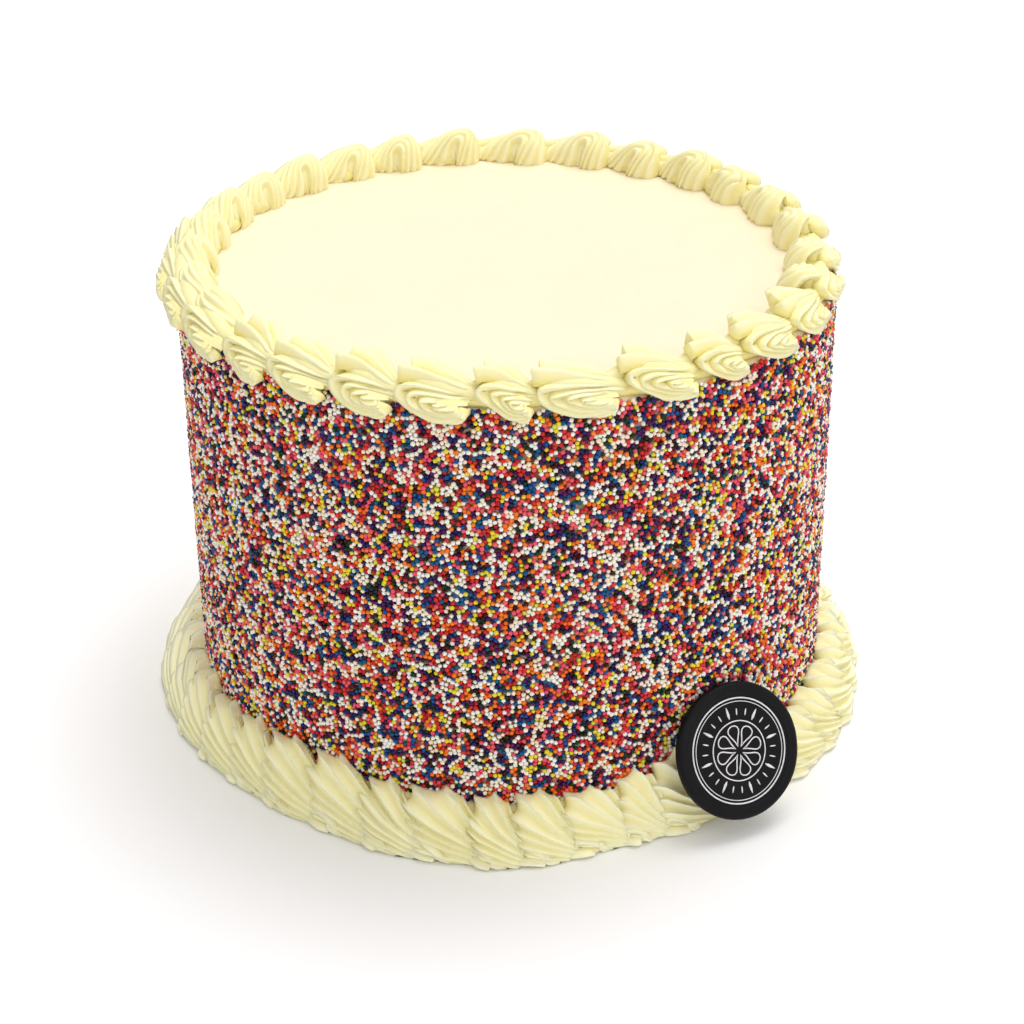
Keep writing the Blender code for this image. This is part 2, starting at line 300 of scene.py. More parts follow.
def ridge_path(points, count):
    """A smooth path through the points, with more samples where it bends."""
    p = np.asarray(points, float)
    p = np.vstack([2 * p[0] - p[1], p, 2 * p[-1] - p[-2]])
    n = len(p) - 3
    u = np.linspace(0, n, 40 * n + 1)
    i = np.minimum(u.astype(int), n - 1)
    t = (u - i)[:, None]
    a, b, c, d = p[i], p[i + 1], p[i + 2], p[i + 3]
    q = 0.5 * (2 * b + (c - a) * t + (2 * a - 5 * b + 4 * c - d) * t ** 2 + (3 * b - a - 3 * c + d) * t ** 3)
    q[:, 3] = np.maximum(q[:, 3], 0.35)
    d1 = np.diff(q[:, :3], axis=0)
    ln = np.linalg.norm(d1, axis=1) + 1e-9
    tan = d1 / ln[:, None]
    bend = np.concatenate([[0], np.linalg.norm(np.diff(tan, axis=0), axis=1)])
    weight = ln + 1.3 * bend
    along = np.concatenate([[0], np.cumsum(weight)])
    want = np.linspace(0, along[-1], count)
    return np.stack([np.interp(want, along, q[:, k]) for k in range(4)], 1)


def ridge(points, core, count, profile, blunt=0.0):
    """One swept ridge in (s, r, z), its crest turned away from the core (s0, s1, r, z)."""
    c = ridge_path(points, count)
    tan = np.gradient(c[:, :3], axis=0)
    tan /= np.linalg.norm(tan, axis=1)[:, None] + 1e-9
    mid = np.stack([np.clip(c[:, 0], core[0], core[1]), np.full(count, core[2]), np.full(count, core[3])], 1)
    out = c[:, :3] - mid
    out -= (out * tan).sum(1)[:, None] * tan
    out /= np.linalg.norm(out, axis=1)[:, None] + 1e-9
    for _ in range(3):
        out[1:-1] = (out[:-2] + 2 * out[1:-1] + out[2:]) / 4
    out -= (out * tan).sum(1)[:, None] * tan
    out /= np.linalg.norm(out, axis=1)[:, None] + 1e-9
    side = np.cross(tan, out)
    size = c[:, 3][:, None, None]
    pts = c[:, None, :3] + size * (profile[None, :, 1:] * out[:, None] + profile[None, :, :1] * side[:, None])
    if blunt:
        # cut off: one more ring just beyond the end, close to it where the edge is crisp
        mid = pts[0].mean(0)
        pts = np.concatenate([(mid + (pts[0] - mid) * (1 - 0.5 * blunt) - blunt * tan[0])[None], pts])
    return pts


def bundle_mesh(tubes, crease_shades):
    """Joins closed tubes, each (count, around, 3) points in mm."""
    co, quads, tris, crease_shade = [], [], [], []
    base = 0
    for pts, cr in zip(tubes, crease_shades):
        m, k = pts.shape[:2]
        co.append(pts.reshape(-1, 3))
        crease_shade.append(cr.ravel())
        quads.append(grid_faces(m, k, close_cols=True, base=base))
        for row, nrow, flip in ((0, 1, False), (m - 1, m - 2, True)):
            ring = base + row * k + np.arange(k)
            tip = base + m * k + (1 if flip else 0)
            nxt = np.roll(ring, -1)
            f = np.stack([np.full(k, tip), nxt, ring], 1)
            tris.append(f[:, ::-1] if flip else f)
            step = pts[row].mean(0) - pts[nrow].mean(0)
            away = pts[row].mean(0) + (0.3 if np.linalg.norm(step) > 0.2 else 0.0) * step
            co.append(away[None])
            # painted shade: a light weight at the end caps
            crease_shade.append(np.array([0.3]))
        base += m * k + 2
    return np.vstack(co), quads, tris, np.concatenate(crease_shade)


def ring_point(azimuth, r, z, cx=0.0, cy=0.0):
    a = np.radians(azimuth)
    return np.stack([cx + r * np.sin(a), cy - r * np.cos(a), z], -1)


def hood(pitch, lift, rng, depth, front, count):
    """The crown and inner side of a shell: a plump hood whose fine ridges hook over a notch.
    Points (s, r, z) on a grid, one row for each step across the ridges, and the weight of painted shade, by how deep in
    the grooves each point is."""
    per = 5
    space = 13.2 / count
    phi = (np.arange(per * count + 1) / per * space)[:, None]
    mid_x = 7.6 + rng.uniform(-0.9, 0.9) + (3.2 if front else 0.0)
    mid_y = 6.2 + rng.uniform(-1.2, 1.4)
    lean = rng.uniform(0.25, 0.7)
    left, right = (mid_x + 3.3) / 13.2, (pitch + 0.4 - mid_x) / 13.2
    if front:
        left = (mid_x - 2.6) / 13.2
    leg = np.linspace(1, 0, 6)[:-1]
    turn = np.linspace(0, math.pi, 15)
    x = np.concatenate([np.repeat(-1.0, 5), -np.cos(turn), np.repeat(1.0, 5)])[None] * phi
    x = x * np.where(x < 0, left, right)
    y = np.concatenate([leg, np.zeros(15), leg[::-1]])[None] * (14.4 - mid_y) + mid_y - np.concatenate([np.zeros(5), np.sin(turn), np.zeros(5)])[None] * phi
    x = mid_x + x + lean * (y - mid_y) * np.clip(phi / 3, 0, 1) * np.clip((11 - phi) / 4, 0, 1)
    wob = Waves(rng.randint(1000))
    x = x + 0.55 * wob(np.stack([x, y, 0 * x], -1).reshape(-1, 3), 9.0).reshape(x.shape)
    start = 1.6 if front else -3.0
    blunt = 6.0 if front else 5.4
    nose = np.sqrt(np.clip(1 - (np.clip(start + blunt - x, 0, blunt) / blunt) ** 2, 0, 1))
    tail = 1 - (0.75 if front else 0.8) * np.clip((x - 6.5) / (pitch - 7.5), 0, 1.05) ** 1.25
    body = np.minimum(nose, tail)
    wave = np.abs(np.cos(math.pi * phi / space)) ** 0.85
    high = depth * (wave - 0.6) * np.clip(body * 1.6, 0, 1) - (0.4 if front else 1.9) * np.exp(-(phi / 1.3) ** 2)
    th = math.pi / 2 + y / 8.2
    wide, tall = (6.7, 9.9 + lift) if not front else (5.6, 5.8 + lift)
    r = 94.4 + (wide * body + high) * -np.sin(th - math.pi / 2)
    z = 145.0 + (tall * body + high) * np.cos(th - math.pi / 2)
    # painted shade weight: full at the bottom of each of the grooves, none on the crests
    groove_shade = (1 - wave) * np.ones_like(x)
    return np.stack([x, r, z], -1), np.clip(groove_shade * 1.1, 0, 1)


# painted shade weights around a ridge's section: none on the crest, more down the flanks, full on the underside
CREASE_SHADE = np.array([0.0, 0.18, 0.62, 1.0, 1.0, 1.0, 0.62, 0.18])


def vary(points, rng, move, size):
    p = np.array(points, float)
    off = rng.normal(size=(len(p), 3)) * move
    off = (off + np.roll(off, 1, 0)) / 1.4
    p[:, :3] += off * np.array([1.4, 0.8, 0.8])
    p[:, 3] *= 1 + rng.normal(0, size, len(p))
    return p


def top_tubes():
    rng = np.random.RandomState(11)
    n = len(TOP_HEADS)
    tubes, crease_shades, fans = [], [], []
    for i, head in enumerate(TOP_HEADS):
        pitch = ((TOP_HEADS[(i + 1) % n] - head) % 360.0) * math.pi / 180 * 98.5
        k = pitch / 21.3
        rise = rng.uniform(-0.8, 0.7)
        wide = rng.uniform(0.95, 1.06)
        turn = rng.uniform(-0.10, 0.10)
        front = abs((head + 180) % 360 - 180) < 62
        side = abs((head + 180) % 360 - 180 - 92) < 36
        bands = [(q, PLEAT, 18, size) for size, q in PLEATS] + [(FRONT_FILL, ROUND, 10, None)] if front else []
        bands += [(q, FIN, 30, None) for q in CURLS] + [(q, ROUND, 10, None) for q in TOP_FILL]
        pts, groove_shade = hood(pitch, rise, rng, 0.7 if front else 0.9 if side else 1.4, front, 4 if side else 5)
        pts[..., 1] = 97.5 + (pts[..., 1] - 97.5) * wide
        fans.append((ring_point(head + np.degrees(pts[..., 0] / 98.5), pts[..., 1], pts[..., 2], -1.9, 0.3), groove_shade,
                     ring_point(head + np.degrees(pitch * 0.45 / 98.5), 96.0, 146.5, -1.9, 0.3)))
        for points, profile, count, cut in bands:
            fill = profile is ROUND
            p = np.array(points, float) if fill else vary(points, rng, 0.16, 0.03)
            s = p[:, 0]
            p[:, 0] = np.where(s < 6, s, 6 + (s - 6) * ((pitch - 6) / (21.3 - 6)))
            p[:, 1] = 97.5 + (p[:, 1] - 97.5) * wide
            bulk = np.clip((20 - p[:, 0]) / 12, 0, 1)
            p[:, 2] += (rise + turn * (p[:, 1] - 97.5)) * bulk
            p[:, 3] *= 0.5 + 0.5 * min(k, 1.12) ** 0.5
            pts = ridge(p, (7.5, 40.0, 96.0, 147.6), count, profile, 0.0 if cut is None else 0.7 if 35 < head < 90 else 0.14)
            tubes.append(ring_point(head + np.degrees(pts[..., 0] / 98.5), pts[..., 1], pts[..., 2], -1.9, 0.3))
            # painted shade: half weight over the fill tubes, the section weights on the ridges
            crease_shades.append(np.full((count, 8), 0.5) if fill else np.tile(CREASE_SHADE, (len(pts), 1)))
    # the bed under the shells, closed around the ring
    steps, around = 29 * 8, 10
    az = np.arange(steps) * 360.0 / steps
    heads = np.array(TOP_HEADS)
    ahead = (az[:, None] - heads[None]) % 360.0
    s = ahead.min(1) * math.pi / 180 * 98.5
    body = 0.5 - 0.5 * np.cos(np.clip(s / 20.0, 0, 1) * 2 * math.pi)
    th = np.arange(around) * 2 * math.pi / around
    r = (97.0 - 1.5 * body)[:, None] + (4.2 + 2.6 * body)[:, None] * np.cos(th)
    z = 145.8 + (2.6 + 0.9 * body)[:, None] * np.sin(th)
    bed = ring_point(az[:, None].repeat(around, 1), r, z, -1.9, 0.3)
    return tubes, crease_shades, bed, fans


def foot_heads():
    start, end = FOOT_HEADS[-1], FOOT_LAST[0]
    step = (end - start) / (FOOT_BETWEEN + 1)
    back = [start + step * (i + 1) + 0.9 * math.sin(2.4 * i + 0.5) + 0.5 * math.sin(5.3 * i)
            for i in range(FOOT_BETWEEN)]
    return list(FOOT_HEADS) + back + list(FOOT_LAST)


FOOT_EDGE_AZ = (-180, -150, -125, -100, -82, -65, -50, -30, -15, 0, 8, 14, 22, 32, 45, 60, 100, 130, 180)
FOOT_EDGE_R = (116.5, 117.2, 117.8, 117.8, 117, 115, 112.5, 112, 114.5, 116, 114, 111, 111, 112, 114, 116.5, 117, 116.5, 116.5)
FOOT_TOP_AZ = (-180, -100, -75, -50, -35, -15, 0, 12, 22, 30, 45, 70, 180)
FOOT_TOP_Z = (16.5, 15.5, 17.0, 20.5, 21.0, 18.6, 16.8, 18.0, 21.0, 22.5, 18.5, 16.5, 16.5)


def foot_shape(az, r, z, wide, tall):
    """The foot's section where it stands: how far out it reaches and how high it climbs."""
    az = (az + 180) % 360 - 180
    edge = np.interp(az, FOOT_EDGE_AZ, FOOT_EDGE_R)
    top = np.interp(az, FOOT_TOP_AZ, FOOT_TOP_Z)
    r = 102.0 + (r - 102.0) * np.where(r > 102.0, (edge - 102.0) / 14.4 * wide, 1.0)
    z = z * np.where(z > 4, 1 + (top / 18.0 * tall - 1) * np.clip((z - 4) / 8, 0, 1), 1)
    return r, z


def foot_section(w):
    """Point and outward normal of the foot's section, w mm down from the top edge."""
    sec = np.array(FOOT_SECTION)
    at = np.concatenate([[0], np.cumsum(np.linalg.norm(np.diff(sec, axis=0), axis=1))])
    at -= at[2]
    d = np.gradient(sec, axis=0)
    d /= np.linalg.norm(d, axis=1)[:, None]
    r, z = (np.interp(w, at, sec[:, i]) for i in (0, 1))
    nr, nz = np.interp(w, at, -d[:, 1]), np.interp(w, at, d[:, 0])
    ln = np.hypot(nr, nz)
    return r, z, nr / ln, nz / ln


def foot_fan(scale, reach, rng):
    """One fan-shaped shell: (along, down, height) on a grid, and the weight of painted shade for each point, by how
    deep in the grooves it is.
    """
    ends = np.array(FOOT_ENDS)
    ends[:, :2] += rng.normal(0, 0.34, (len(ends), 2))
    ends[:, 2] *= 1 + rng.normal(0, 0.05, len(ends))
    ends[:, 0] *= scale
    tails = np.array(FOOT_TAILS) * [scale * (1 + reach), 1.0]
    tails[:, 1] += rng.normal(0, 0.3)
    tip, tail, tall, crest, gap = [], [], [], [], []
    for i in range(len(ends) - 1):
        a, b = ends[i], ends[i + 1]
        space = np.hypot(*(b - a)[:2])
        for t in (0.0, 0.07, 0.25, 0.5, 0.75, 0.93):
            e = a + (b - a) * t
            far = tails[i] + (tails[i + 1] - tails[i]) * t
            back = far - e[:2]
            bay = 0.26 * space
            tip.append(e[:2] + back / np.hypot(*back) * bay * math.sin(math.pi * t))
            tail.append(far)
            tall.append(e[2])
            crest.append(1 - abs(math.sin(math.pi * t)) ** 0.75)
            gap.append(space)
    tip.append(ends[-1, :2])
    tail.append(tails[-1])
    tall.append(ends[-1, 2])
    crest.append(1.0)
    gap.append(3.0)
    tip, tail, tall, crest, gap = (np.array(q) for q in (tip, tail, tall, crest, gap))
    rho = FAN_ROWS[:, None]
    pos = tail + rho[..., None] * (tip - tail)
    down = pos[..., 1] + 0.9 * np.sin(math.pi * rho) * np.clip((19 - pos[..., 1]) / 10, 0, 1)
    body = 1.1 + 3.9 * np.clip(rho / 0.78, 0, 1) ** 0.75
    space = gap * rho + 1.15 * (1 - rho)
    amp = np.clip(0.76 * space, 0, 3.4)
    high = body * tall - amp * (1 - crest)
    turn = np.sqrt(np.clip(1 - ((rho - 0.85) / 0.15).clip(0, 1) ** 2, 0, 1))
    high = high * turn - 1.3 * (1 - turn)
    high[:, 0] = high[:, -1] = -1.4
    # painted shade weight: deepest between the crests, less towards the tail
    return pos[..., 0], down, high, np.clip((0.72 - crest)[None] * 1.3, 0, 1) * np.clip(rho * 1.6, 0.4, 1)


def fan_mesh(pts, groove_shade):
    """A closed lump: the fan's outer face, and its edge drawn together inside the bed."""
    m, k = pts.shape[:2]
    loop = np.concatenate([np.arange(k), np.arange(1, m) * k + k - 1, (m - 1) * k + np.arange(k - 2, -1, -1), np.arange(m - 2, 0, -1) * k])
    quads = grid_faces(m, k)
    tris = np.stack([np.full(len(loop), m * k), loop, np.roll(loop, -1)], 1)
    return quads, tris, loop


def foot_tubes():
    rng = np.random.RandomState(23)
    heads = foot_heads()
    n = len(heads)
    tubes, crease_shades, fans = [], [], []
    for i, head in enumerate(heads):
        pitch = ((heads[(i + 1) % n] - head) % 360.0) * math.pi / 180 * 108.0
        wide = rng.uniform(0.96, 1.05)
        tall = rng.uniform(0.95, 1.06)
        mid_az = (head + 180) % 360 - 180
        reach = 0.08 + 0.42 * np.clip((-12 - mid_az) / 22, 0, 1) * np.clip((mid_az + 150) / 25, 0, 1)
        along, down, high, groove_shade = foot_fan(pitch / 16.5, reach, rng)
        r, z, nr, nz = foot_section(down)
        az = head + np.degrees(along / 108.0)
        r, z = foot_shape(az, r + high * nr, z + high * nz, wide, tall)
        pts = ring_point(az, r, z)
        inside = ring_point(az.mean(), 103.5, 6.0)
        fans.append((pts, groove_shade, inside))
        for points in FOOT_HOOKS:
            p = vary(points, rng, 0.3, 0.06)
            p[:, 0] *= pitch / 16.5
            p[:, 1], p[:, 2] = foot_shape(head + np.degrees(p[:, 0] / 108.0), p[:, 1], p[:, 2], wide, tall)
            pts = ridge(p, (6.0, 60.0, 104.0, 3.0), 16, CURL)
            tubes.append(ring_point(head + np.degrees(pts[..., 0] / 108.0), pts[..., 1], pts[..., 2]))
            # painted shade weights around each hook's section
            crease_shades.append(np.tile(CREASE_SHADE, (16, 1)))
    steps = 42 * 8
    az = np.arange(steps) * 360.0 / steps
    sec = np.array(FOOT_BED)
    az2 = az[:, None].repeat(len(sec), 1)
    r = sec[None, :, 0].repeat(steps, 0)
    z = sec[None, :, 1].repeat(steps, 0)
    r, z = foot_shape(az2, r, z, 1.0, 1.0)
    bed = ring_point(az2, r, z)[:, ::-1]
    return tubes, crease_shades, bed, fans


def rough_up(co, seed, amounts):
    base = co.copy()
    for j, (amp, scale) in enumerate(amounts):
        for axis in range(3):
            co[:, axis] += amp * Waves(seed + 7 * j + axis)(base, scale)
    return co


PL_N = (math.sin(math.radians(PLAQUE_TURN)) * math.cos(math.radians(PLAQUE_LEAN)),
        -math.cos(math.radians(PLAQUE_TURN)) * math.cos(math.radians(PLAQUE_LEAN)),
        math.sin(math.radians(PLAQUE_LEAN)))


def behind_plaque(co):
    """Icing that would stand in the plaque is pressed back behind it."""
    n = np.array(PL_N)
    d = (co - np.array(PLAQUE_FACE)) @ n
    flat = co - np.array(PLAQUE_FACE) - d[:, None] * n
    rad = np.linalg.norm(flat, axis=1)
    back = -(PLAQUE_T + 0.15)
    soft = np.clip((PLAQUE_R + 1.2 - rad) / 1.2, 0, 1)
    push = np.where(d > back, back - d, 0.0) * soft
    return co + push[:, None] * n


def piping(seed, tubes, crease_shades, bed, fans=()):
    co, quads, tris, crease_shade = bundle_mesh(tubes, crease_shades)
    for pts, groove_shade, inside in fans:
        q, f, _ = fan_mesh(pts, groove_shade)
        quads.append(q[:, ::-1] + len(co))
        tris.append(f + len(co))
        co = np.vstack([co, pts.reshape(-1, 3), inside[None]])
        # painted shade: the fans carry their weights, and the point inside is fully shaded
        crease_shade = np.concatenate([crease_shade, groove_shade.ravel(), [1.0]])
    rows, around = bed.shape[:2]
    quads.append(grid_faces(rows, around, close_rows=True, close_cols=True, base=len(co), flip=True))
    co = np.vstack([co, bed.reshape(-1, 3)])
    # painted shade: the bed shows only in the gaps between shells and is painted fully in the shade colour of the
    # grooves
    crease_shade = np.concatenate([crease_shade, np.full(rows * around, 1.0)])
    co = rough_up(co, seed, [(0.22, 15.0), (0.10, 4.5)])
    return co, quads + tris, crease_shade


def make_piping():
    co, faces, crease_shade = piping(100, *top_tubes())
    inside = np.hypot(co[:, 0], co[:, 1]) < 100.5
    co[:, 2] = np.where(inside, np.maximum(co[:, 2], H_TOP - 1.2), co[:, 2])
    # the per-point weights here drive the painted shade in the grooves
    top = mesh_object("piped_top_border", co, faces, M_PIPE, attributes={"crease_shade": crease_shade})
    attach(top, "root")
    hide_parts("top_border")

    co, faces, crease_shade = piping(200, *foot_tubes())
    co = behind_plaque(co)
    under = np.hypot(co[:, 0], co[:, 1]) < 107.0
    co[:, 2] = np.maximum(co[:, 2], np.where(under, 0.0, 0.25))
    # the per-point weights here drive the painted shade in the grooves
    foot = mesh_object("piped_foot_border", co, faces, M_FOOT, attributes={"crease_shade": crease_shade})
    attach(foot, "root")
    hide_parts("bottom_border")


# ------------------------------------------------------------------ the iced cake under the sprinkles
def make_cake():
    around = 240
    prof = [(0.0, H_TOP)]
    prof += [(r, H_TOP) for r in np.linspace(4, 98.5, 30)]
    prof += [(98.5 + 2.5 * math.sin(a), H_TOP - 2.5 + 2.5 * math.cos(a)) for a in np.linspace(0.3, math.pi / 2, 5)]
    prof += [(ICING_R, z) for z in np.linspace(136, 1.0, 34)]
    prof += [(ICING_R - 0.3, 0.3), (ICING_R - 1.0, 0.0), (50.0, 0.0), (0.0, 0.0)]
    prof = np.array(prof)
    body = prof[1:-1]
    az = np.arange(around) * 360.0 / around
    pts = ring_point(az[None, :].repeat(len(body), 0), body[:, :1].repeat(around, 1), body[:, 1:].repeat(around, 1))
    co = pts.reshape(-1, 3)
    w = Waves(5)
    top = co[:, 2] > H_TOP - 0.01
    co[:, 2] += np.where(top, 0.16 * w(co, 70.0) + 0.05 * w(co, 22.0) - 0.1, 0.0)
    side = (co[:, 2] > 2) & ~top
    r = np.hypot(co[:, 0], co[:, 1])
    grow = 1 + np.where(side, 0.12 * w(co, 40.0) / r, 0)
    co[:, :2] *= grow[:, None]
    rows = len(body)
    quads = grid_faces(rows, around, close_cols=True)
    n = len(co)
    co = np.vstack([co, [[0, 0, H_TOP - 0.1], [0, 0, 0]]])
    first = np.arange(around)
    last = (rows - 1) * around + first
    tris = [np.stack([np.full(around, n), first, np.roll(first, -1)], 1)[:, ::-1],
            np.stack([np.full(around, n + 1), last, np.roll(last, -1)], 1)]
    tris = [tris[0][:, ::-1], tris[1][:, ::-1]]
    # where the sprinkles coat the side, below the top edge: there the skin takes the deeper layer and its painted shade
    coated = np.clip((H_TOP - 0.9 - co[:, 2]) / 0.5, 0, 1) * (np.hypot(co[:, 0], co[:, 1]) > 99.5)
    cake = mesh_object("iced_cake", co, [quads[:, ::-1]] + tris, M_TOP, attributes={"coated": coated})
    # painted shade: greyed cream for the shaded icing in the gaps, and darkened bead colours for a deeper layer of
    # beads in shade
    deep_beads_and_shade(M_TOP, [(0.30, srgb(150, 132, 112)), (0.20, srgb(120, 34, 30)), (0.12, srgb(132, 60, 22)),
                       (0.10, srgb(136, 112, 40)), (0.14, srgb(22, 30, 70)), (0.08, srgb(18, 36, 28)), (0.06, srgb(26, 14, 18))])
    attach(cake, "root")
    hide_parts("cake_body")


# ------------------------------------------------------------------ nonpareils
def relax(u, v, width, low, high, want, rounds):
    """Pushes points apart on the unrolled side until most are about want mm from the next."""
    cell = want * 1.05
    nu = int(width / cell)
    cu = width / nu
    nv = int((high - low) / cell) + 1
    for _ in range(rounds):
        iu = (u / cu).astype(int) % nu
        iv = np.clip(((v - low) / cell).astype(int), 0, nv - 1)
        key = iu * nv + iv
        order = np.argsort(key, kind="stable")
        sk = key[order]
        slot_no = np.arange(len(sk)) - np.searchsorted(sk, sk)
        cap = 5
        table = np.full((nu * nv, cap), -1, np.int64)
        ok = slot_no < cap
        table[sk[ok], slot_no[ok]] = order[ok]
        table = table.reshape(nu, nv, cap)
        du = np.zeros_like(u)
        dv = np.zeros_like(v)
        for a in (-1, 0, 1):
            for b in (-1, 0, 1):
                jv = iv + b
                good = (jv >= 0) & (jv < nv)
                for s in range(cap):
                    j = table[(iu + a) % nu, np.clip(jv, 0, nv - 1), s]
                    use = good & (j >= 0) & (j != np.arange(len(u)))
                    jj = np.where(use, j, 0)
                    x = u - u[jj]
                    x = (x + width / 2) % width - width / 2
                    y = v - v[jj]
                    d = np.hypot(x, y) + 1e-6
                    push = np.where(use & (d < want), (want - d) * 0.32 / d, 0.0)
                    du += x * push
                    dv += y * push
        u = (u + np.clip(du, -0.4, 0.4)) % width
        v = np.clip(v + np.clip(dv, -0.4, 0.4), low, high)
    return u, v


# name, share, colour, second colour
KINDS = (
    ("white", 0.18, srgb(252, 244, 234), srgb(240, 240, 228)),
    ("cream", 0.14, srgb(252, 232, 214), srgb(240, 226, 196)),
    ("red", 0.125, srgb(222, 50, 48), srgb(168, 20, 32)),
    ("coral", 0.09, srgb(240, 104, 104), srgb(230, 74, 108)),
    ("orange", 0.09, srgb(240, 100, 26), srgb(246, 140, 40)),
    ("yellow", 0.085, srgb(246, 212, 44), srgb(214, 218, 70)),
    ("blue", 0.075, srgb(14, 72, 150), srgb(12, 92, 118)),
    ("navy", 0.075, srgb(22, 22, 78), srgb(26, 34, 96)),
    ("violet", 0.07, srgb(52, 12, 78), srgb(96, 20, 88)),
    ("green", 0.045, srgb(12, 52, 38), srgb(20, 40, 22)),
    ("maroon", 0.055, srgb(70, 8, 16), srgb(24, 8, 10)),
)


def make_sprinkles():
    rng = np.random.RandomState(77)
    width = 2 * math.pi * 101.4
    low, high = 12.5, 143.9
    d = 2 * BEAD_R * 0.985
    cols = int(width / d)
    rows = int((high - low) / (d * math.sqrt(3) / 2))
    gu = width / cols
    gv = (high - low) / rows
    jj, ii = np.meshgrid(np.arange(cols), np.arange(rows))
    u = ((jj + 0.5 * (ii % 2)) * gu).ravel() + rng.normal(0, 0.95, cols * rows)
    v = (low + (ii + 0.5) * gv).ravel() + rng.normal(0, 0.95, cols * rows)
    keep = rng.uniform(size=len(u)) > 0.03
    u, v = u[keep] % width, np.clip(v[keep], low, high)
    u, v = relax(u, v, width, low, high, d, 16)
    n = len(u)
    rad = 1.12 * BEAD_R * np.clip(rng.normal(1.0, 0.07, n), 0.84, 1.15)
    az = u / width * 360.0
    out = ICING_R + rng.uniform(-0.05, 0.5, n)
    extra = rng.uniform(size=n) < 0.05
    out = np.where(extra, out + 0.35, out)
    out = np.minimum(out, R_SIDE + 0.25 - rad * 0.75)
    centre = ring_point(az, out, v)
    nrm = ring_point(az, np.ones(n), np.zeros(n))
    # kinds: mostly at random, with loose runs of one colour
    share = np.array([k[1] for k in KINDS])
    share = share / share.sum()
    field = rng.uniform(size=n)
    edges = np.concatenate([[0], np.cumsum(share)])
    kind = np.clip(np.searchsorted(edges, field, side="right") - 1, 0, len(KINDS) - 1)
    for first, second in ((v, u), (u, v)):
        order = np.lexsort((first, (second / 1.5).astype(int)))
        near = np.empty(n, int)
        near[order] = np.roll(order, 1)
        kind = np.where(rng.uniform(size=n) < 0.12, kind[near], kind)
    # unit bead: apex outwards, two rings of four, flat back
    ang = np.arange(4) * math.pi / 2
    p1, p2 = math.radians(60), math.radians(104)
    bead = [(0, 0, 1.0)]
    bead += [(math.sin(p1) * math.cos(a), math.sin(p1) * math.sin(a), math.cos(p1)) for a in ang]
    bead += [(math.sin(p2) * math.cos(a + math.pi / 4), math.sin(p2) * math.sin(a + math.pi / 4), math.cos(p2)) for a in ang]
    bead = np.array(bead)
    tri = [(0, 1 + i, 1 + (i + 1) % 4) for i in range(4)]
    tri += [(1 + i, 5 + i, 1 + (i + 1) % 4) for i in range(4)]
    tri += [(1 + i, 5 + (i - 1) % 4, 5 + i) for i in range(4)]
    tri += [(5, 8, 7), (5, 7, 6)]
    tri = np.array(tri)
    up = np.array([0, 0, 1.0])
    t1 = np.cross(up[None], nrm)
    t1 /= np.linalg.norm(t1, axis=1)[:, None]
    t2 = np.cross(nrm, t1)
    spin = rng.uniform(0, 2 * math.pi, n)
    tiltx, tilty = rng.normal(0, 0.25, n), rng.normal(0, 0.25, n)
    nn = nrm + tiltx[:, None] * t1 + tilty[:, None] * t2
    nn /= np.linalg.norm(nn, axis=1)[:, None]
    e1 = t1 * np.cos(spin)[:, None] + t2 * np.sin(spin)[:, None]
    e1 -= (e1 * nn).sum(1)[:, None] * nn
    e1 /= np.linalg.norm(e1, axis=1)[:, None]
    e2 = np.cross(nn, e1)
    for i, (name, _, colour, dark) in enumerate(KINDS):
        sel = np.flatnonzero(kind == i)
        pts = (centre[sel, None] + rad[sel, None, None] *
               (bead[None, :, 0:1] * e1[sel, None] + bead[None, :, 1:2] * e2[sel, None] + bead[None, :, 2:3] * nn[sel, None]))
        faces = (tri[None] + (np.arange(len(sel)) * len(bead))[:, None, None]).reshape(-1, 3)
        mat = bead_material("sugar_" + name, colour, dark, sss=0.15 if name in ("white", "cream", "yellow") else 0.0)
        obj = mesh_object("nonpareils_" + name, pts.reshape(-1, 3), [faces], mat)
        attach(obj, "root")


# ------------------------------------------------------------------ chocolate plaque
def plaque_matrix():
    turn, lean = math.radians(PLAQUE_TURN), math.radians(PLAQUE_LEAN)
    n = np.array(PL_N)
    right = np.array([math.cos(turn), math.sin(turn), 0.0])
    up = np.cross(n, right)
    return right, up, n


def place_on_plaque(local):
    """local: x right, y up, z towards the viewer, z = 0 on the plaque's front face."""
    right, up, n = plaque_matrix()
    local = np.asarray(local, float)
    return np.array(PLAQUE_FACE) + local[:, :1] * right + local[:, 1:2] * up + local[:, 2:3] * n


def chocolate_material():
    mat, nt, bsdf = new_material("dark_chocolate")
    vary = noise_node(nt, 140.0, 4.0)
    tint = ramp_node(nt, vary.outputs["Fac"], [(0.3, srgb(11, 10, 12)), (0.7, srgb(18, 16, 19))])
    nt.links.new(tint.outputs["Color"], bsdf.inputs["Base Color"])
    bsdf.inputs["Roughness"].default_value = 0.5
    bsdf.inputs["Specular IOR Level"].default_value = 0.14
    fine = noise_node(nt, 1500.0, 3.0, 0.6)
    first = bump(nt, bsdf, fine.outputs["Fac"], 0.00008, 0.6)
    soft = noise_node(nt, 220.0, 2.0)
    bump(nt, bsdf, soft.outputs["Fac"], 0.0003, 0.3, first)
    return mat


def print_material():
    mat, nt, bsdf = new_material("edible_print")
    vary = noise_node(nt, 700.0, 3.0)
    tint = ramp_node(nt, vary.outputs["Fac"], [(0.3, srgb(212, 210, 212)), (0.7, srgb(236, 234, 234))])
    nt.links.new(tint.outputs["Color"], bsdf.inputs["Base Color"])
    bsdf.inputs["Roughness"].default_value = 0.6
    fine = noise_node(nt, 2600.0, 2.0)
    bump(nt, bsdf, fine.outputs["Fac"], 0.00003, 0.5)
    return mat


